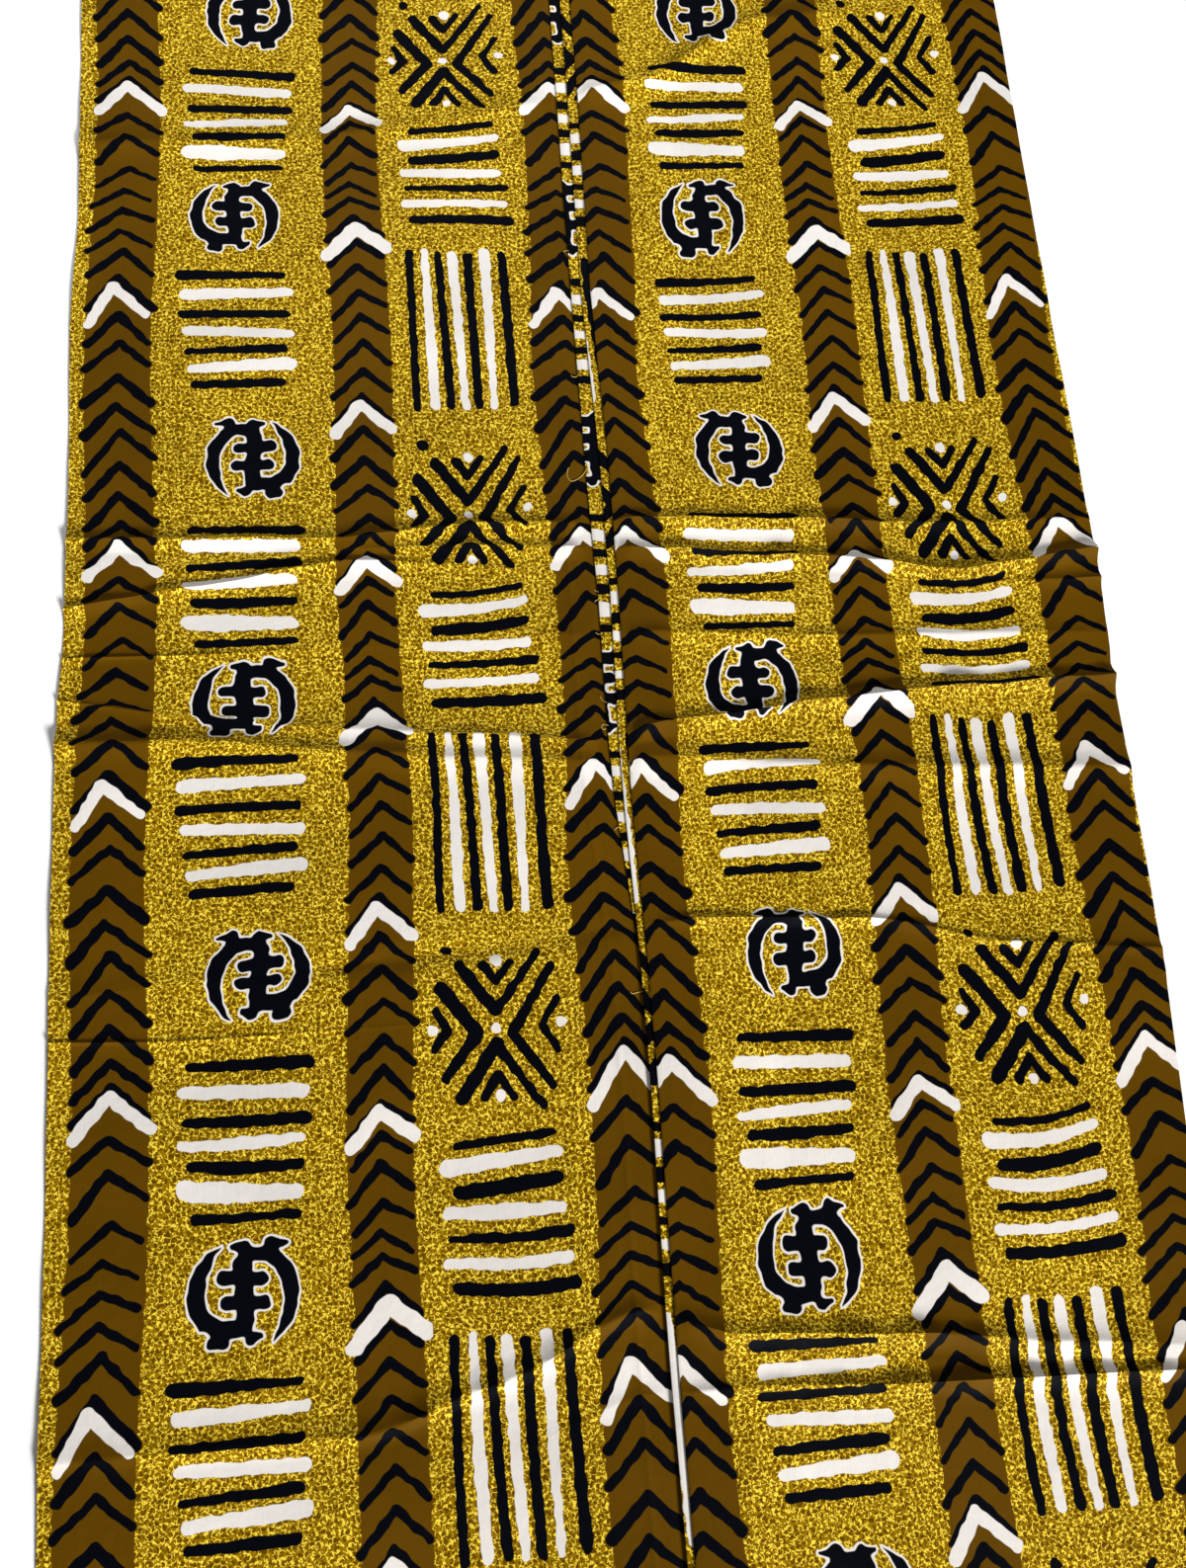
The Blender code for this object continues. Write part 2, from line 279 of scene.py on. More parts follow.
def columns_across(y):
    """The cloth cut across: for each point its x, its layer, its place in the print and where it shows."""
    strip_1, strip_2, panel = (line_at(name, y) for name in pleat_depths)
    folds = {name: edge + pleat_depths[name] for name, edge in zip(pleat_depths, (strip_1, strip_2, panel))}
    shown_1 = 1000 * (strip_1 + pleat_depths["strip_1"] * 2 - left_print_start)
    shown_2 = float(np.interp(y, strip_2_along, strip_2_print))
    shown_3 = 1000 * (panel - right_print_start)
    points = []

    def run(places, layer, print_from, print_to, shows):
        first, last = places[0], places[-1]
        for x in places:
            t = (x - first) / (last - first)
            points.append((x, layer, print_from + (print_to - print_from) * t, shows))

    def turn(x, outward, place):
        layer = points[-1][1]
        for step in (1, 2, 3):
            a = -pi / 2 + pi * step / 4
            bulge = outward * layer_pitch / 2 * cos(a)
            points.append((x + bulge, layer + 0.5 + 0.5 * sin(a), place, "hidden"))

    def printed(x):
        return 1000 * (x - left_print_start)

    # The left panel, then under the first strip to the first hidden fold and back.
    ends = pulled_ends(left_print_start, column_ends, y)
    left = line_at("left_edge", y)
    places = fill(left, ends[0], 12) + fill(ends[0], ends[1], 17) + fill(ends[1], ends[2], 10)
    places += fill(ends[2], ends[3], 16) + fill(ends[3], strip_1 - 0.030, 3)
    places += [strip_1 - d for d in (0.030, 0.0265, 0.024, 0.0225, 0.021, 0.0185, 0.015, 0.010, 0.006)]
    run(places, 0, printed(places[0]), printed(places[-1]), "left")
    fold = folds["strip_1"]
    places = [strip_1 - 0.003, strip_1 + 0.003, strip_1 + 0.020, fold]
    run(places, 0, printed(places[0]), printed(fold), "under")
    turn(fold, 1, printed(fold))
    run([fold, strip_1 + 0.020, strip_1 + 0.003, strip_1], 1, printed(fold), shown_1, "under")
    turn(strip_1, -1, shown_1)
    # The first strip, over that fold to the second hidden fold and back.
    knots = [fold - 0.006, fold + 0.004, fold + 0.014]
    fold = folds["strip_2"]
    over = [strip_1, strip_1 + 0.004, strip_1 + 0.009, strip_1 + 0.014, strip_1 + 0.026] + knots + [fold]
    far = shown_1 + 1000 * (fold - strip_1)
    run(over, 2, shown_1, far, "under")
    turn(fold, 1, far)
    run([fold] + knots[::-1] + [strip_2 + 0.014, strip_2 + 0.006, strip_2], 3, far, shown_2, "under")
    turn(strip_2, -1, shown_2)
    # The second strip, to the third hidden fold and back.
    fold = folds["panel"]
    far = shown_2 + 1000 * (fold - strip_2)
    over = [strip_2, strip_2 + 0.003, strip_2 + 0.006, strip_2 + 0.010, strip_2 + 0.024] + knots[:2] + [fold]
    run(over, 4, shown_2, far, "under")
    turn(fold, 1, far)
    run([fold] + knots[:2][::-1] + [panel + 0.014, panel], 5, far, shown_3, "under")
    turn(panel, -1, shown_3)
    # The right panel, down over all three to the surface.
    ends = pulled_ends(right_print_start, [2 * repeat_across + end for end in column_ends], y)
    ends.append(right_print_start + 0.001 * (3 * repeat_across - column_gap))
    places = [panel, panel + 0.002, panel + 0.005, panel + 0.009, panel + 0.014, panel + 0.020]
    places += fill(panel + 0.026, ends[0], 4) + fill(ends[0], ends[1], 17) + fill(ends[1], ends[2], 10)
    places += fill(ends[2], ends[3], 16) + fill(ends[3], line_at("right_edge", y), 11)
    places.append(line_at("right_edge", y))
    run(places, 6, shown_3, 1000 * (places[-1] - right_print_start), "right")
    return points, folds


# Where the cloth above steps down past a hidden fold, where a crease dies out beside the first strip and
# rises from the right panel's edge, and the old fold down the left panel.
step_start = 0.001
step_length = 0.016
fade_start = 0.018
fade_length = 0.014
rise_length = 0.012
edge_share = 0.25
ridge_height = 0.0005
ridge_width = 0.0016
ridge_from_strip = 0.0225
ridge_top = 0.125


def stack_height(x, layer, folds):
    """The height of a layer's middle at x: what lies under it ends at the hidden folds."""
    z = layer * layer_pitch
    for level, name in ((2, "strip_1"), (4, "strip_2"), (6, "panel")):
        if layer >= level:
            gone = float(eased((x - folds[name] - step_start) / step_length))
            z -= 2 * layer_pitch * gone
    return z


def left_share(x, strip_1):
    """How much of a crease is left on the left panel, which dies out before the first strip."""
    return 1.0 - eased((x - strip_1 + fade_start) / fade_length)


def right_share(x, panel):
    """How much of a crease shows on the right panel, which rises from its folded edge."""
    return edge_share + (1.0 - edge_share) * eased((x - panel) / rise_length)


def old_ridge(x, y, strip_1):
    """An old fold down the left panel, beside the pleats and below the upper ledge."""
    return ridge_height * np.exp(-((x - strip_1 + ridge_from_strip) / ridge_width) ** 2) * (y < ridge_top)


def panel_height(x, y, strip_1):
    """The height of the left panel's upper face."""
    x, y = np.array([x]), np.array([y])
    lift = crease_lift(x, y) * left_share(x, strip_1)
    return float((lift + swell(x, y) + old_ridge(x, y, strip_1))[0]) + cloth_thickness + cloth_clearance


def cloth_rows():
    """Each row of points across the cloth: its x, y and height, and its place across and along the print."""
    for row in rows_down():
        points, folds = columns_across(float(across(row, np.array([0.0]))[0]))
        x, layer, print_across, shown = (np.array(values) for values in zip(*points))
        y = across(row, x)
        strip_1, panel = (line_at(name, y[len(y) // 2]) for name in ("strip_1", "panel"))
        on_left, on_right = shown == "left", shown == "right"
        share = np.where(on_left, left_share(x, strip_1), np.where(on_right, right_share(x, panel), 0.0))
        stacked = np.array([stack_height(*place, folds) for place in zip(x, layer)])
        raised = stacked + crease_lift(x, y) * share + swell(x, y) + old_ridge(x, y, strip_1) * on_left
        z = np.maximum(raised, 0.0) + cloth_thickness / 2 + cloth_clearance
        print_along = print_top - 1000 * y + print_shift(x, y) + pulled("along", x, y)
        yield x, y, z, print_across + pulled("across", x, y) * (on_left | on_right), print_along


def print_part(across_print, along_print):
    """The number of the part of the print that each face lies in."""
    kind = np.searchsorted(np.array(column_ends), (across_print + column_gap) % repeat_across - column_gap)
    kind = np.where(across_print < 0.0, 0, np.clip(kind, 0, 3))
    part, first = np.zeros_like(kind), 0
    for column_kind, starts in enumerate(part_starts):
        within = (along_print - starts[0]) % repeat_along + starts[0]
        found = np.searchsorted(np.array(starts), within, side="right") - 1
        part = np.where(kind == column_kind, first + found, part)
        first += len(starts)
    return part


def cloth_mesh():
    """The middle surface of the cloth, with its place in the print as a UV map."""
    x, y, z, across_print, along_print = (np.array(values) for values in zip(*cloth_rows()))
    rows, columns = x.shape
    faces = []
    for r in range(rows - 1):
        for c in range(columns - 1):
            a = r * columns + c
            faces.append((a, a + columns, a + columns + 1, a + 1))
    mesh = bpy.data.meshes.new("wax_print")
    mesh.from_pydata(np.stack([x, y, z], 2).reshape(-1, 3), [], faces)
    uv = mesh.uv_layers.new(name="print")
    corners = np.array(faces).reshape(-1)
    across_corner, along_corner = across_print.reshape(-1)[corners], along_print.reshape(-1)[corners]
    uv.data.foreach_set("uv", np.stack([across_corner, along_corner], 1).reshape(-1) * 0.001)
    part = print_part(across_corner.reshape(-1, 4).mean(1), along_corner.reshape(-1, 4).mean(1))
    mesh.polygons.foreach_set("material_index", part.astype(np.int32))
    mesh.update()
    return mesh


cloth = bpy.data.objects.new("wax_print_cloth", cloth_mesh())
bpy.context.scene.collection.objects.link(cloth)
bpy.ops.object.select_all(action="DESELECT")
cloth.select_set(True)
bpy.context.view_layer.objects.active = cloth
thick = cloth.modifiers.new("thickness", "SOLIDIFY")
thick.thickness = cloth_thickness
thick.offset = 0.0
thick.use_even_offset = True
thick.use_quality_normals = True
bpy.ops.object.modifier_apply(modifier="thickness")
bpy.ops.object.shade_smooth_by_angle(angle=radians(50))


# The print, in millimetres. One repeat has a strip of chevrons, a column of bars and Gye Nyame signs,
# a second strip of chevrons, and a column of bars and crosses. Black ink lies over the brown and the
# golden ground, and white over both. Each stroke runs from a start to an end, each with a half width.
def fit(tree, socket, value):
    """Links a socket to another node's output, or sets it to a value."""
    if isinstance(value, bpy.types.NodeSocket):
        tree.links.new(value, socket)
    else:
        socket.default_value = value


def number(tree, operation, *values, clamp=False):
    """A maths node's result."""
    node = tree.nodes.new("ShaderNodeMath")
    node.operation = operation
    node.use_clamp = clamp
    for socket, value in zip(node.inputs, values):
        fit(tree, socket, value)
    return node.outputs[0]


def vector(tree, operation, *values):
    """A vector maths node's result."""
    node = tree.nodes.new("ShaderNodeVectorMath")
    node.operation = operation
    sockets = [s for s in node.inputs if s.type == "VECTOR"]
    if operation == "SCALE":
        sockets = [node.inputs[0], node.inputs["Scale"]]
    for socket, value in zip(sockets, values):
        fit(tree, socket, value)
    return node.outputs["Value" if operation in ("LENGTH", "DOT_PRODUCT", "DISTANCE") else "Vector"]


def blend(tree, share, below, above):
    """The colour below, and the one above where share is 1."""
    node = tree.nodes.new("ShaderNodeMix")
    node.data_type = "RGBA"
    fit(tree, node.inputs["Factor"], share)
    fit(tree, node.inputs["A"], below)
    fit(tree, node.inputs["B"], above)
    return next(s for s in node.outputs if s.type == "RGBA")


def ranged(tree, value, from_low, from_high, to_low=0.0, to_high=1.0):
    """A value brought softly from one range to another."""
    node = tree.nodes.new("ShaderNodeMapRange")
    node.interpolation_type = "SMOOTHSTEP"
    names = ("Value", "From Min", "From Max", "To Min", "To Max")
    for name, setting in zip(names, (value, from_low, from_high, to_low, to_high)):
        fit(tree, node.inputs[name], setting)
    return node.outputs["Result"]


def noise(tree, place, scale, detail=0.0, roughness=0.5, output="Fac"):
    """Flat noise, where scale is how many of its cells fit in one unit of the place."""
    node = tree.nodes.new("ShaderNodeTexNoise")
    node.noise_dimensions = "2D"
    fit(tree, node.inputs["Vector"], place)
    node.inputs["Scale"].default_value = scale
    node.inputs["Detail"].default_value = detail
    node.inputs["Roughness"].default_value = roughness
    return node.outputs[output]


def start_group(name, inputs, outputs):
    """A new node group, with its inputs and outputs inside it by name."""
    group = bpy.data.node_groups.new(name, "ShaderNodeTree")
    for label, kind in inputs:
        group.interface.new_socket(label, in_out="INPUT", socket_type=kind)
    for label, kind in outputs:
        group.interface.new_socket(label, in_out="OUTPUT", socket_type=kind)
    return group, group.nodes.new("NodeGroupInput").outputs, group.nodes.new("NodeGroupOutput").inputs


def placed(tree, group, **settings):
    """A group's outputs in a tree, with its inputs set or linked by name."""
    node = tree.nodes.new("ShaderNodeGroup")
    node.node_tree = group
    for label, value in settings.items():
        fit(tree, node.inputs[label.replace("_", " ")], value)
    return node.outputs


FLOAT, VECTOR, COLOUR = "NodeSocketFloat", "NodeSocketVector", "NodeSocketColor"

# A stroke with round ends, as its distance from a place. It keeps the nearer of itself and what is
# already drawn.
stroke, given, result = start_group(
    "brush stroke",
    (("Place", VECTOR), ("Start", VECTOR), ("End", VECTOR),
     ("Start Half", FLOAT), ("End Half", FLOAT), ("Drawn", FLOAT)),
    (("Drawn", FLOAT),))
from_start = vector(stroke, "SUBTRACT", given["Place"], given["Start"])
reach = vector(stroke, "SUBTRACT", given["End"], given["Start"])
share = number(stroke, "DIVIDE", vector(stroke, "DOT_PRODUCT", from_start, reach),
               vector(stroke, "DOT_PRODUCT", reach, reach), clamp=True)
gap = vector(stroke, "DISTANCE", from_start, vector(stroke, "SCALE", reach, share))
growth = number(stroke, "SUBTRACT", given["End Half"], given["Start Half"])
half = number(stroke, "MULTIPLY_ADD", share, growth, given["Start Half"])
fit(stroke, result["Drawn"], number(stroke, "MINIMUM", given["Drawn"], number(stroke, "SUBTRACT", gap, half)))

# The place in the print, in millimetres: plain for the weave, and within one repeat, with the unsteady
# edge that hand-cut wax leaves, for the strokes.
edge_waver = 2.4
waver_per_mm = 0.115
half_way = (0.5, 0.5, 0.5)
print_place, given, result = start_group(
    "print place", (("Left", FLOAT), ("Top", FLOAT)), (("Place", VECTOR), ("Cloth", VECTOR)))
uv = print_place.nodes.new("ShaderNodeUVMap")
uv.uv_map = "print"
plain = vector(print_place, "MULTIPLY", uv.outputs["UV"], (1000.0, 1000.0, 0.0))
fit(print_place, result["Cloth"], plain)
unsteady = noise(print_place, plain, waver_per_mm, output="Color")
unsteady = vector(print_place, "SUBTRACT", unsteady, half_way)
moved = vector(print_place, "MULTIPLY_ADD", unsteady, (edge_waver, edge_waver, 0.0), plain)
apart = print_place.nodes.new("ShaderNodeSeparateXYZ")
fit(print_place, apart.inputs[0], moved)
joined = print_place.nodes.new("ShaderNodeCombineXYZ")
for axis, start, period in (("X", "Left", repeat_across), ("Y", "Top", repeat_along)):
    far_side = number(print_place, "ADD", given[start], period)
    wrapped = number(print_place, "WRAP", apart.outputs[axis], far_side, given[start])
    fit(print_place, joined.inputs[axis], wrapped)
fit(print_place, result["Place"], joined.outputs[0])

# The golden ground: short bright hooked marks, close together over ochre, with darker gaps. The marks run
# along the edges of a cell pattern that is bent by noise, and other noise breaks them.
marks_per_mm = 0.255
bends_per_mm = 0.46
mark_bend = 3.9
breaks_per_mm = 0.36
breaks_from = (71.0, 43.0, 0.0)
mark_edge = (0.045, 0.150)
mark_break = (0.42, 0.50)
gap_edge = (0.09, 0.38)
yellow = (0.89, 0.660, 0.058, 1.0)
ochre = (0.262, 0.146, 0.0010, 1.0)
olive = (0.098, 0.047, 0.0003, 1.0)
ground, given, result = start_group("hooked ground", (("Cloth", VECTOR),), (("Colour", COLOUR),))
bent = vector(ground, "SUBTRACT", noise(ground, given["Cloth"], bends_per_mm, output="Color"), half_way)
bent = vector(ground, "MULTIPLY_ADD", bent, (mark_bend, mark_bend, 0.0), given["Cloth"])
cells = ground.nodes.new("ShaderNodeTexVoronoi")
cells.voronoi_dimensions = "2D"
cells.feature = "DISTANCE_TO_EDGE"
cells.inputs["Scale"].default_value = marks_per_mm
fit(ground, cells.inputs["Vector"], bent)
from_mark = cells.outputs["Distance"]
broken = noise(ground, vector(ground, "ADD", given["Cloth"], breaks_from), breaks_per_mm)
lines = ranged(ground, from_mark, *mark_edge, 1.0, 0.0)
marks = number(ground, "MULTIPLY", lines, ranged(ground, broken, *mark_break))
between = blend(ground, ranged(ground, from_mark, *gap_edge), ochre, olive)
fit(ground, result["Colour"], blend(ground, marks, between, yellow))

# Ink over what is already printed, where a stroke's distance is below nothing.
ink_edge = 0.30
inked, given, result = start_group(
    "ink", (("Drawn", FLOAT), ("Under", COLOUR), ("Ink", COLOUR)), (("Colour", COLOUR),))
covered = ranged(inked, given["Drawn"], -ink_edge, ink_edge, 1.0, 0.0)
fit(inked, result["Colour"], blend(inked, covered, given["Under"], given["Ink"]))

# Plain woven cotton under the print: threads, small puckers, slubs and slow fading. Each noise has how
# many of its cells lie in a millimetre, and the heights are in millimetres.
thread_pitch = 0.72
thread_height = 0.012
puckers_per_mm = 0.075
pucker_height = 0.55
slubs_per_mm = (1.6, 0.05, 0.0)
slub_shade = 0.10
fading_per_mm = 0.011
fading_shade = 0.30
cotton, given, result = start_group(
    "woven cotton",
    (("Cloth", VECTOR), ("Print", COLOUR)),
    (("Colour", COLOUR), ("Roughness", FLOAT), ("Normal", VECTOR)))
apart = cotton.nodes.new("ShaderNodeSeparateXYZ")
fit(cotton, apart.inputs[0], given["Cloth"])
threads = []
for axis in "XY":
    phase = number(cotton, "MULTIPLY", apart.outputs[axis], 2 * pi / thread_pitch)
    threads.append(number(cotton, "SINE", phase))
weave = number(cotton, "MULTIPLY", *threads)
pucker = noise(cotton, given["Cloth"], puckers_per_mm, 2.0, 0.55)
slub = noise(cotton, vector(cotton, "MULTIPLY", given["Cloth"], slubs_per_mm), 1.0)
fading = noise(cotton, given["Cloth"], fading_per_mm, 1.0)
height = number(cotton, "MULTIPLY", pucker, pucker_height)
height = number(cotton, "MULTIPLY_ADD", weave, thread_height, height)
bump = cotton.nodes.new("ShaderNodeBump")
bump.inputs["Strength"].default_value = 0.55
bump.inputs["Distance"].default_value = 0.001
fit(cotton, bump.inputs["Height"], height)
fit(cotton, result["Normal"], bump.outputs["Normal"])
shade = number(cotton, "MULTIPLY_ADD", fading, fading_shade, 0.80)
shade = number(cotton, "MULTIPLY_ADD", slub, slub_shade, shade)
fit(cotton, result["Colour"], vector(cotton, "MULTIPLY", given["Print"], shade))
fit(cotton, result["Roughness"], number(cotton, "MULTIPLY_ADD", pucker, 0.20, 0.50))


def stroke_on(tree, place, drawn, start, start_half, end, end_half):
    """Adds one stroke to what is drawn."""
    ends = {"Start": (*start, 0.0), "End": (*end, 0.0), "Start_Half": start_half, "End_Half": end_half}
    return placed(tree, stroke, Place=place, **ends, Drawn=drawn)["Drawn"]


# The distance from any stroke where none is drawn yet, and how far outside a part of the print a stroke
# still belongs to it.
far_off = 1000.0
stroke_margin = 7.0


def strokes_on(tree, place, rows, drawn=far_off):
    """Adds strokes to what is drawn, one after another."""
    for start_u, start_v, start_half, end_u, end_v, end_half in rows:
        drawn = stroke_on(tree, place, drawn, (start_u, start_v), start_half, (end_u, end_v), end_half)
    return drawn


def ink_over(tree, colour, drawn, ink):
    """The colour with ink over it, or as it was where nothing is drawn in this part."""
    if isinstance(drawn, float):
        return colour
    return placed(tree, inked, Drawn=drawn, Under=colour, Ink=ink)["Colour"]


stroke_columns = ("start_u", "start_v", "start_half", "end_u", "end_v", "end_half")


def strokes_near(rows, start, end):
    """The strokes that touch one part of the print, each moved by whole repeats to lie there."""
    found = []
    for row in rows:
        s = dict(zip(stroke_columns, row))
        top = min(s["start_v"] - s["start_half"], s["end_v"] - s["end_half"])
        bottom = max(s["start_v"] + s["start_half"], s["end_v"] + s["end_half"])
        for lift in (-repeat_along, 0.0, repeat_along):
            if bottom + lift > start - stroke_margin and top + lift < end + stroke_margin:
                moved = {**s, "start_v": s["start_v"] + lift, "end_v": s["end_v"] + lift}
                found.append(tuple(moved[column] for column in stroke_columns))
    return found


# The inks, and how far the brown reaches past the black strokes and the white past the signs.
brown_rim = 0.7
sign_rim = 1.5
black = (0.0012, 0.0017, 0.0034, 1.0)
white = (0.69, 0.66, 0.625, 1.0)
brown = (0.096, 0.044, 0.0008, 1.0)


def start_print(name, kind, start, end):
    """A material for one part of the print, with the place in its repeat and the golden ground."""
    material = bpy.data.materials.new(name)
    material.use_nodes = True
    tree = material.node_tree
    middle = (column_ends[kind - 1] - (repeat_across if kind == 0 else 0.0) + column_ends[kind]) / 2
    place = placed(tree, print_place, Left=middle - repeat_across / 2, Top=(start + end - repeat_along) / 2)
    golden = placed(tree, ground, Cloth=place["Cloth"])["Colour"]
    return material, tree, place["Place"], place["Cloth"], golden


def print_parts(kind):
    """Where each part of one kind of column starts and ends."""
    starts = part_starts[kind]
    return zip(starts, (*starts[1:], starts[0] + repeat_along))


def finish_print(material, cloth_place, colour):
    """Puts the printed colour on woven cotton, and the material on the cloth."""
    tree = material.node_tree
    shader = tree.nodes["Principled BSDF"]
    surface = placed(tree, cotton, Cloth=cloth_place, Print=colour)
    fit(tree, shader.inputs["Base Color"], surface["Colour"])
    fit(tree, shader.inputs["Roughness"], surface["Roughness"])
    fit(tree, shader.inputs["Normal"], surface["Normal"])
    shader.inputs["Specular IOR Level"].default_value = 0.02
    cloth.data.materials.append(material)


# The strips of chevrons. Each row is a chevron: its peak, and the ends of its left and its right leg.
chevron_columns = (
    "peak_u", "peak_v", "peak_half", "left_u", "left_v", "left_half", "right_u", "right_v", "right_half")
strip_a_black = (
    (28, -104, 3.4, 4, -85, 3.5, 56, -85, 3.0), (28, -79, 3.6, 6, -53, 4.0, 54, -62, 3.0),
    (31, -46.5, 3.2, 5, -28, 2.5, 52, -35.5, 2.0), (26.5, -24, 2.8, 1, -8.5, 2.5, 49, -14, 2.0),
    (25, -5, 3.0, -2, 16, 3.0, 50, 5, 2.8), (24, 15, 3.0, -2, 36.5, 2.5, 49, 30, 2.5),
    (27, 35, 3.6, -1, 61, 3.5, 50, 59, 2.8), (23, 62, 4.0, -1, 93, 3.0, 50, 92, 5.0),
    (24, 98, 4.0, 0, 126, 4.0, 48, 125, 3.2), (25.5, 124.5, 3.4, -1.5, 149.5, 3.2, 49, 146, 3.0),
    (25, 157, 4.0, -1.5, 181, 4.5, 51, 181, 4.5), (23, 183, 3.8, 0, 210, 5.0, 54, 208, 2.8),
    (27, 206, 3.4, 1, 244, 3.5, 54, 231, 3.0), (27, 236, 3.6, 3, 266, 4.0, 54, 262, 3.5),
    (27, 263, 3.6, 4, 293, 4.0, 55, 288, 3.8), (29, 288, 3.6, 4, 314, 3.5, 55, 309, 3.5),
    (30, 306, 3.6, 4, 332, 3.5, 54, 331, 3.5))
strip_a_white = ((28, 313, 4.6, 5, 343, 5.0, 57, 340, 5.0), (19, 71, 5.0, 0, 107, 4.0, 47, 98, 3.5))
strip_b_black = (
    (219, -120, 3.4, 196, -97, 3.0, 241, -108, 2.5), (218, -99, 3.4, 197, -77, 2.5, 238, -87, 2.5),
    (217, -79, 3.4, 194, -52, 2.5, 238, -63, 3.5), (218, -53, 3.2, 197, -33, 2.8, 238, -43, 2.5),
    (216, -33, 3.0, 196, -18, 2.3, 237, -20, 2.3), (216, -17, 3.0, 195, 0, 3.0, 239, -7, 2.5),
    (218, 2, 3.4, 196, 27, 3.0, 241, 21, 3.5), (220, 28, 3.4, 198, 52, 3.0, 241, 42, 3.5),
    (220, 53, 3.4, 197, 77, 3.0, 243, 70, 3.0), (221, 78, 3.4, 200, 103, 2.8, 243, 91, 2.5),
    (222, 101, 3.2, 201, 126, 2.5, 244, 117, 2.5), (224, 126, 3.2, 201, 150, 2.8, 245, 147, 2.8),
    (223, 153, 3.4, 198, 178, 3.0, 244, 172, 2.8), (221, 176, 3.4, 198, 203, 2.5, 244, 200, 3.0),
    (221, 207, 3.6, 197, 234, 3.8, 244, 230, 2.8), (221, 235, 3.8, 196, 258, 4.0, 243, 256, 4.0),
    (222, 260, 3.2, 196, 281, 2.5, 245, 275, 2.8), (222, 286, 3.4, 199, 306, 3.0, 243, 303, 3.0),
    (221, 306, 3.4, 197, 333, 3.5, 240, 326, 3.0))
strip_b_white = (
    (217.5, -115, 4.5, 197, -91, 5.0, 242, -98, 5.0), (220, 14, 6.5, 196, 42, 6.0, 246, 34, 6.0),
    (219, 184.5, 4.5, 199, 212, 5.0, 244, 207, 5.0))


def legs(rows):
    """The two strokes of each chevron, both from its peak."""
    found = []
    for row in rows:
        c = dict(zip(chevron_columns, row))
        peak = (c["peak_u"], c["peak_v"], c["peak_half"])
        for side in ("left", "right"):
            found.append((*peak, c[side + "_u"], c[side + "_v"], c[side + "_half"]))
    return found


def chevron_strip(name, kind, middle, sway, sway_start, half_width, blacks, whites):
    """One strip of the print: a brown band that sways along the cloth, with chevrons across it."""
    for start, end in print_parts(kind):
        material, tree, place, cloth_place, colour = start_print(name, kind, start, end)
        apart = tree.nodes.new("ShaderNodeSeparateXYZ")
        fit(tree, apart.inputs[0], place)
        turn = number(tree, "SUBTRACT", apart.outputs["Y"], sway_start)
        turn = number(tree, "COSINE", number(tree, "MULTIPLY", turn, 2 * pi / repeat_along))
        band_middle = number(tree, "MULTIPLY_ADD", turn, sway, middle)
        off_middle = number(tree, "SUBTRACT", apart.outputs["X"], band_middle)
        black_drawn = strokes_on(tree, place, strokes_near(legs(blacks), start, end))
        band = number(tree, "SUBTRACT", number(tree, "ABSOLUTE", off_middle), half_width)
        band = number(tree, "MINIMUM", band, number(tree, "SUBTRACT", black_drawn, brown_rim))
        colour = ink_over(tree, colour, band, brown)
        colour = ink_over(tree, colour, black_drawn, black)
        white_drawn = strokes_on(tree, place, strokes_near(legs(whites), start, end))
        colour = ink_over(tree, colour, white_drawn, white)
        finish_print(material, cloth_place, colour)


chevron_strip("chevrons beside the bars", 0, 27.0, 3.0, -90.0, 26.6, strip_a_black, strip_a_white)

# The column of bars and signs. Each row is a stroke.
bars_black = (
    (84, -154, 3.5, 167, -152, 5.0), (83, -114, 4.0, 165, -114.5, 4.5), (86, -83, 4.0, 110, -82.5, 5.0),
    (110, -82.5, 5.0, 160, -83.5, 3.5), (87, -48.5, 3.5, 157, -50.5, 3.0), (74, 60, 5.0, 158, 60.5, 3.0),
    (76, 98, 4.0, 160, 98, 3.8), (81, 134, 3.0, 158, 132, 4.5), (86, 164.5, 3.5, 156, 164, 4.0))
bars_white = (
    (80, -136, 4.5, 163, -133, 5.0), (79, -97, 3.5, 125, -99.5, 4.5), (125, -99.5, 4.5, 161, -101, 3.5),
    (81, -66.5, 6.5, 107, -66, 7.6), (107, -66, 6.6, 157, -65, 5.0), (78, 79, 5.5, 163, 77, 4.0),
    (80, 114, 4.5, 163, 117.5, 4.5), (84, 150, 4.0, 163, 146.5, 6.0))

# The Gye Nyame sign about its own middle, x across and y down. Its parts run softly into one another.
sign_softness = 4.0
sign, given, result = start_group(
    "gye nyame sign", (("Place", VECTOR), ("Mirror", FLOAT)), (("Drawn", FLOAT),))
turned = sign.nodes.new("ShaderNodeSeparateXYZ")
fit(sign, turned.inputs[0], given["Place"])
faced = sign.nodes.new("ShaderNodeCombineXYZ")
sides = {"X": number(sign, "MULTIPLY", turned.outputs["X"], given["Mirror"]), "Y": turned.outputs["Y"]}
fit(sign, faced.inputs["X"], sides["X"])
fit(sign, faced.inputs["Y"], sides["Y"])
spot = faced.outputs[0]


def crescent(outer, outer_radius, inner, inner_radius, *cuts):
    """A crescent: within one circle and outside another, with its tips cut."""
    drawn = number(sign, "SUBTRACT", vector(sign, "DISTANCE", spot, (*outer, 0.0)), outer_radius)
    hollow = number(sign, "SUBTRACT", inner_radius, vector(sign, "DISTANCE", spot, (*inner, 0.0)))
    drawn = number(sign, "MAXIMUM", drawn, hollow)
    for axis, side, place in cuts:
        drawn = number(sign, "MAXIMUM", drawn, number(sign, "MULTIPLY_ADD", sides[axis], side, place))
    return drawn


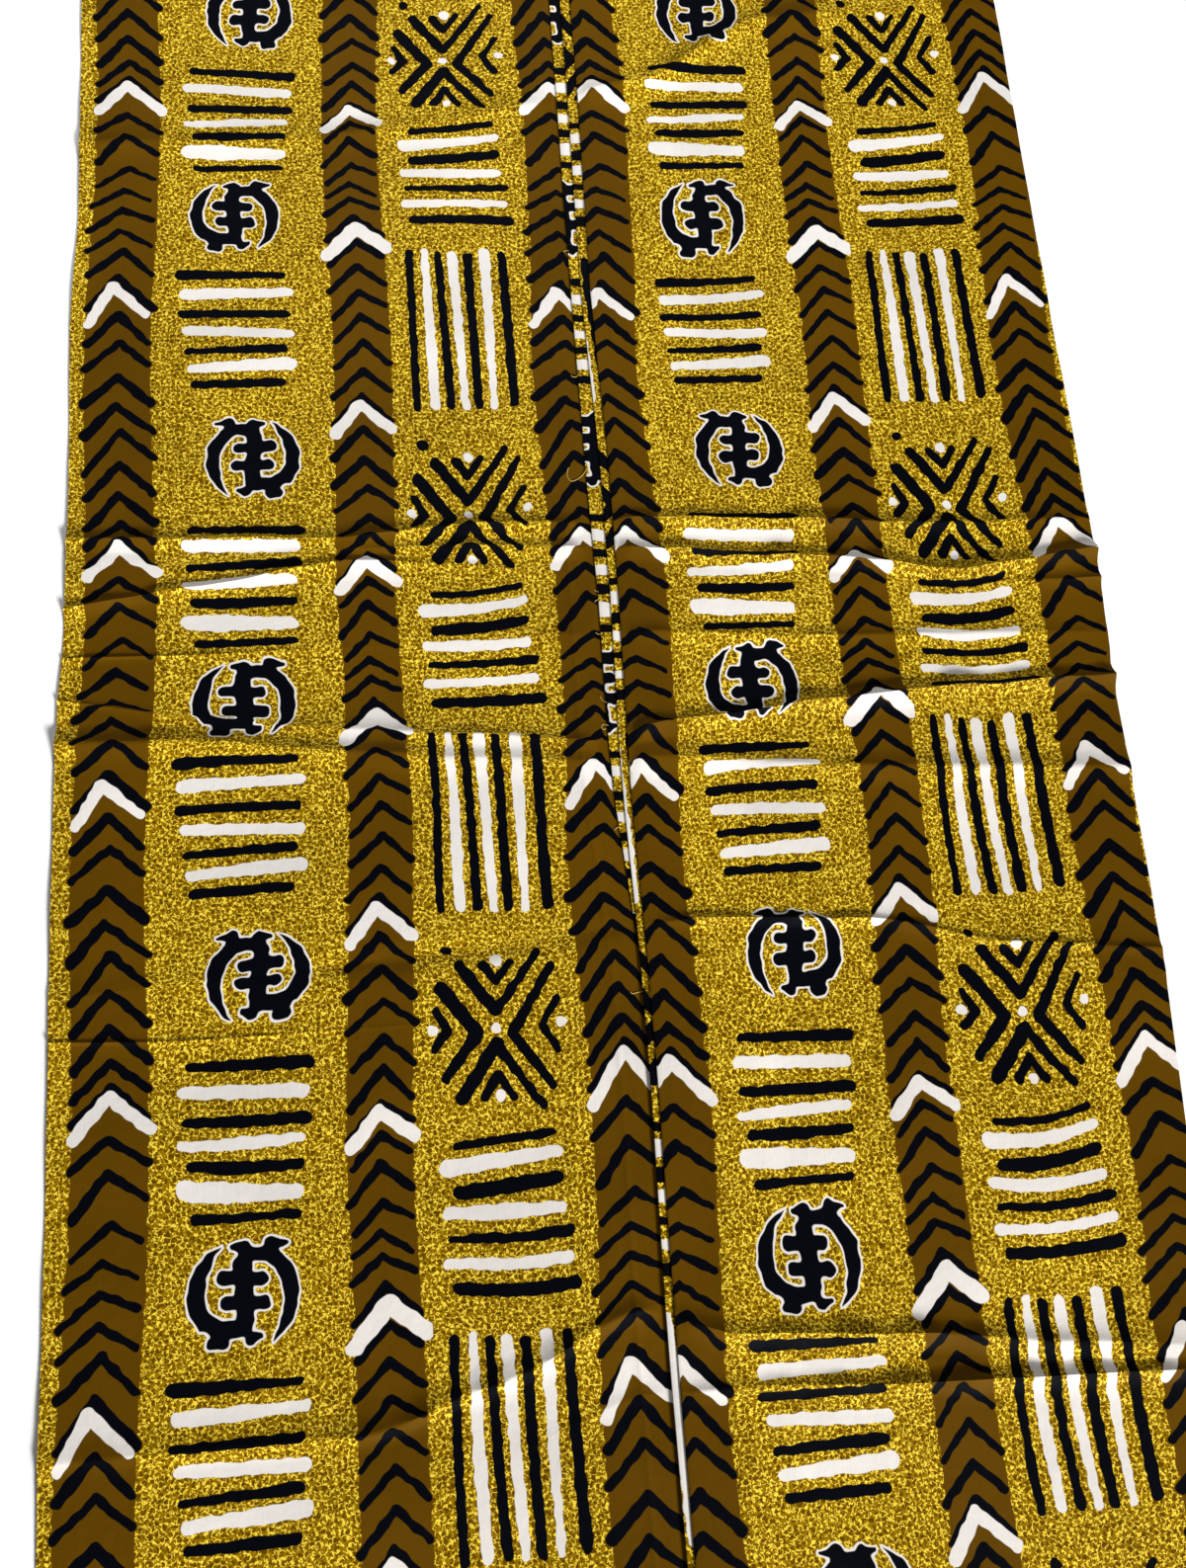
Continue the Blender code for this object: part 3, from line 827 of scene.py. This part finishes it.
sign_strokes = (
    (2.4, -18.0, 6.0, -0.6, 18.0, 6.0), (3.0, -9.4, 4.6, 14.4, -9.4, 4.9),
    (3.0, 7.0, 4.0, 12.0, 6.9, 5.0), (0.0, -8.4, 4.2, -10.2, -8.3, 4.7),
    (-1.0, 7.2, 4.0, -12.0, 7.9, 5.3), (-17.0, -25.4, 5.0, 0.5, -24.0, 5.0),
    (-28.6, -30.6, 1.2, -18.0, -31.2, 4.6), (0.6, -29.6, 4.4, 8.8, -29.4, 1.7),
    (-0.5, 24.4, 5.0, 17.0, 23.6, 6.2), (-10.8, 29.4, 2.2, -5.4, 30.8, 4.6),
    (14.0, 33.0, 4.4, 19.8, 32.2, 4.0), (-17.0, -24.6, 5.2, -31.0, -8.0, 4.2),
    (17.0, 24.6, 5.2, 31.6, 10.0, 4.2))
left_cuts = (("Y", -1.0, -24.0), ("Y", 1.0, -34.0), ("X", 1.0, 19.5))
right_cuts = (("Y", 1.0, -24.0), ("Y", -1.0, -32.0), ("X", -1.0, 15.6))
left_moon = crescent((0.9, 3.0), 37.4, (31.0, 7.0), 57.0, *left_cuts)
right_moon = crescent((4.0, 1.0), 33.5, (-18.6, -1.0), 44.9, *right_cuts)
moons = number(sign, "MINIMUM", left_moon, right_moon)
body = far_off
for start_u, start_v, start_half, end_u, end_v, end_half in sign_strokes:
    one = stroke_on(sign, spot, far_off, (start_u, start_v), start_half, (end_u, end_v), end_half)
    body = number(sign, "SMOOTH_MIN", body, one, sign_softness)
fit(sign, result["Drawn"], number(sign, "SMOOTH_MIN", moons, body, sign_softness))

# Both signs in a repeat, the upper one mirrored, and how far each reaches along the print.
sign_reach = 47.0
sign_columns = ("middle_u", "middle_v", "mirror")
signs = ((119.0, -0.5, -1.0), (132.0, 231.0, 1.0))
for start, end in print_parts(1):
    material, tree, place, cloth_place, colour = start_print("bars and signs", 1, start, end)
    black_drawn = far_off
    for row in signs:
        s = dict(zip(sign_columns, row))
        if start - sign_reach < s["middle_v"] < end + sign_reach:
            there = vector(tree, "SUBTRACT", place, (s["middle_u"], s["middle_v"], 0.0))
            black_drawn = placed(tree, sign, Place=there, Mirror=s["mirror"])["Drawn"]
            outline = number(tree, "SUBTRACT", black_drawn, sign_rim)
            colour = ink_over(tree, colour, outline, white)
    black_drawn = strokes_on(tree, place, strokes_near(bars_black, start, end), black_drawn)
    colour = ink_over(tree, colour, black_drawn, black)
    white_drawn = strokes_on(tree, place, strokes_near(bars_white, start, end))
    colour = ink_over(tree, colour, white_drawn, white)
    finish_print(material, cloth_place, colour)

chevron_strip("chevrons beside the crosses", 2, 220.0, 2.8, 150.0, 23.8, strip_b_black, strip_b_white)

# The column of bars and crosses. Each row is a stroke, and a dot is a stroke with next to no length.
cross_black = (
    (272, -88.5, 3.2, 341, -94.5, 3.0), (272, -56.5, 4.5, 290, -58, 5.6), (290, -58, 5.6, 343, -63, 4.6),
    (266, -26.5, 2.6, 349, -28, 4.0), (270, 5.5, 4.5, 351, 5.5, 5.0), (264.5, 40, 3.5, 266.5, 188, 3.3),
    (289, 41, 3.5, 295, 186, 3.7), (314, 43, 3.8, 318, 186, 3.8), (343, 40, 3.7, 348, 184, 4.4),
    (269.5, 221.5, 4.4, 269.7, 221.7, 4.4), (279, 236.5, 5.0, 304, 268, 4.5),
    (305, 268, 4.0, 337, 225.5, 3.0), (264.5, 252, 5.5, 290, 284, 5.0), (290, 284, 5.0, 266, 315, 3.5),
    (347, 236, 3.2, 316, 284, 4.5), (316, 284, 4.5, 344, 323, 3.0), (277.5, 329, 5.0, 304, 292, 5.0),
    (304, 292, 4.0, 336, 337, 3.0), (296, 235, 4.0, 305.5, 247, 3.5), (305.5, 247, 3.5, 316.5, 232, 2.8),
    (260, 268, 3.2, 268, 282, 4.0), (268, 282, 4.0, 258, 294, 3.2), (350, 261, 2.8, 338, 279, 3.0),
    (338, 279, 3.0, 348.5, 298, 3.2), (294, 328.5, 3.8, 304, 313, 3.5), (304, 313, 3.5, 315, 330, 3.2))
cross_white = (
    (265, -73.5, 6.0, 344, -81, 4.0), (264, -43, 4.0, 304, -43, 5.0), (304, -43, 5.0, 344, -43.5, 4.0),
    (263, -11, 3.5, 348, -12, 4.0), (277.5, 38, 3.0, 280.5, 140, 4.5), (280.5, 140, 4.5, 281.5, 186, 3.8),
    (301, 42, 4.5, 307, 187, 3.3), (328.5, 39, 4.6, 331, 187, 2.8), (304, 280.5, 3.7, 304.2, 280.7, 3.7),
    (306, 231.5, 4.2, 306.2, 231.7, 4.2), (257.5, 281.5, 3.8, 257.7, 281.7, 3.8),
    (352.5, 279, 3.7, 352.7, 279.2, 3.7), (305, 328, 3.7, 305.2, 328.2, 3.7))
for start, end in print_parts(3):
    material, tree, place, cloth_place, colour = start_print("bars and crosses", 3, start, end)
    black_drawn = strokes_on(tree, place, strokes_near(cross_black, start, end))
    colour = ink_over(tree, colour, black_drawn, black)
    white_drawn = strokes_on(tree, place, strokes_near(cross_white, start, end))
    colour = ink_over(tree, colour, white_drawn, white)
    finish_print(material, cloth_place, colour)

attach(cloth, "root")
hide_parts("cloth")

# The loose yarn ends. Short ends of weft yarn have pulled out of the cloth's edge along the first
# strip. Each is spun cotton 0.7 mm thick, still woven in at one end, and lies loose on the left panel.
yarn_radius = 0.00035
yarn_sides = 6
yarn_steps = 5
yarn_colour = (0.50, 0.36, 0.085, 1.0)
yarn_shade = (0.30, 0.19, 0.035, 1.0)

# Each yarn has its place along the strip, in metres, and the points that it goes through from there,
# in millimetres across and along. It comes down from the strip by its first turn.
yarn_columns = ("y", "points")
yarn_rows = (
    (0.3915, ((0, 0), (-2.5, 1.0), (-4.5, -0.6))),
    (0.2707, ((0, 0), (-2.0, -1.4), (-5.0, -1.2), (-6.2, 0.8))),
    (0.1820, ((0, 0), (-4.8, -5.3), (-12.5, -9.1), (-16.1, -3.5), (-13.9, 4.6))),
    (0.0725, ((0, 0), (-1.8, 1.5), (-3.2, 2.4))),
    (0.0663, ((0, 0), (-2.4, -0.8), (-3.6, -2.0))),
    (0.0357, ((0, 0), (-3.0, 0.8), (-4.6, 2.4))),
    (-0.0220, ((0, 0), (-3.0, 2.6), (-5.2, 6.6))),
    (-0.0410, ((0, 0), (-3.4, 1.6), (-5.2, -0.8), (-3.4, -2.8), (-1.6, -1.8))),
    (-0.1230, ((0, 0), (-2.4, -0.6), (-4.4, -2.6))),
    (-0.2510, ((0, 0), (-4.2, 0.4), (-8.6, -0.4), (-10.4, 1.4))),
)
yarns = [dict(zip(yarn_columns, row)) for row in yarn_rows]


def yarn_path(y, points):
    """Places along a yarn, lying on the left panel from the first strip's edge."""
    ends = [Vector(points[0]), *(Vector(point) for point in points), Vector(points[-1])]
    strip_1 = line_at("strip_1", y)
    path = []
    for before, start, end, after in zip(ends, ends[1:], ends[2:], ends[3:]):
        for step in range(yarn_steps):
            t = step / yarn_steps
            at = 0.5 * (2 * start + (end - before) * t + (2 * before - 5 * start + 4 * end - after) * t ** 2
                        + (3 * start - before - 3 * end + after) * t ** 3)
            place = (strip_1 + 0.001 * at.x, y + 0.001 * at.y)
            gone = min(1.0, (len(path) + 1) / yarn_steps)
            on_strip = 2 * layer_pitch * (1.0 - gone)
            path.append(Vector((*place, panel_height(*place, strip_1) + on_strip + yarn_radius)))
    return path


def yarn_tube(bm, path):
    """A round yarn along a path, with closed ends."""
    rings = []
    for index, place in enumerate(path):
        ahead = (path[min(index + 1, len(path) - 1)] - path[max(index - 1, 0)]).normalized()
        level = ahead.cross(Vector((0.0, 0.0, 1.0))).normalized()
        upright = level.cross(ahead)
        ring = []
        for side in range(yarn_sides):
            a = 2 * pi * side / yarn_sides
            ring.append(bm.verts.new(place + yarn_radius * (level * cos(a) + upright * sin(a))))
        rings.append(ring)
    for first, second in zip(rings, rings[1:]):
        for side in range(yarn_sides):
            other = (side + 1) % yarn_sides
            bm.faces.new((first[side], second[side], second[other], first[other]))
    bm.faces.new(rings[0])
    bm.faces.new(rings[-1][::-1])


bm = bmesh.new()
for loose in yarns:
    yarn_tube(bm, yarn_path(loose["y"], loose["points"]))
bmesh.ops.recalc_face_normals(bm, faces=bm.faces)
yarn_mesh = bpy.data.meshes.new("loose_yarn")
bm.to_mesh(yarn_mesh)
bm.free()
yarn_mesh.shade_smooth()
yarn = bpy.data.objects.new("loose_yarn_ends", yarn_mesh)
bpy.context.scene.collection.objects.link(yarn)
spun = bpy.data.materials.new("spun cotton")
spun.use_nodes = True
tree = spun.node_tree
shader = tree.nodes["Principled BSDF"]
fibre = noise(tree, tree.nodes.new("ShaderNodeTexCoord").outputs["Object"], 2100.0, 2.0)
fit(tree, shader.inputs["Base Color"], blend(tree, ranged(tree, fibre, 0.36, 0.58), yarn_shade, yarn_colour))
twist = tree.nodes.new("ShaderNodeBump")
twist.inputs["Strength"].default_value = 0.6
twist.inputs["Distance"].default_value = 0.0001
fit(tree, twist.inputs["Height"], fibre)
fit(tree, shader.inputs["Normal"], twist.outputs["Normal"])
shader.inputs["Roughness"].default_value = 0.8
yarn_mesh.materials.append(spun)
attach(yarn, "root")

# The floor, the light and the camera, which are not part of the cloth. The floor lies just below it, so
# that the two never share a surface.
floor_drop = 0.0003
bpy.ops.object.select_all(action="DESELECT")
bpy.ops.mesh.primitive_plane_add(size=12.0, location=(0.0, 0.0, -floor_drop))
floor = bpy.context.object
floor.name = "floor"
pale = bpy.data.materials.new("pale floor")
pale.use_nodes = True
shader = pale.node_tree.nodes["Principled BSDF"]
shader.inputs["Base Color"].default_value = (0.93, 0.93, 0.93, 1.0)
shader.inputs["Roughness"].default_value = 0.9
floor.data.materials.append(pale)


def light(kind, name, place, energy):
    """A light at its place, turned to the middle of the cloth."""
    bpy.ops.object.light_add(type=kind, location=place)
    lamp = bpy.context.object
    lamp.name = name
    lamp.rotation_euler = (-Vector(place)).to_track_quat("-Z", "Y").to_euler()
    lamp.data.energy = energy
    return lamp.data


# Low light from the near right leaves the far sides of the creases in shade, and a warm lamp at the near
# end and a lamp at the far end brighten both ends of the cloth.
light("SUN", "window light", (3.2, -6.0, 3.5), 5.2).angle = 0.22
near_lamp = light("AREA", "near lamp", (0.9, -1.9, 1.0), 20.5)
near_lamp.size = 0.5
near_lamp.color = (1.0, 0.93, 0.84)
light("AREA", "far lamp", (-0.1, 1.25, 1.1), 10.5).size = 0.6
world = bpy.data.worlds.new("studio")
bpy.context.scene.world = world
world.use_nodes = True
sky = world.node_tree.nodes["Background"]
sky.inputs["Color"].default_value = (1.0, 1.0, 1.0, 1.0)
sky.inputs["Strength"].default_value = 0.06
bpy.context.scene.view_settings.view_transform = "Standard"

# The camera looks down from where the photo was taken.
bpy.ops.object.camera_add(location=(-0.1425, -0.4270, 1.1397),
                          rotation=(radians(16.926), radians(-5.172), radians(-4.016)))
camera = bpy.context.object
camera.data.lens = 35.44
bpy.context.scene.camera = camera
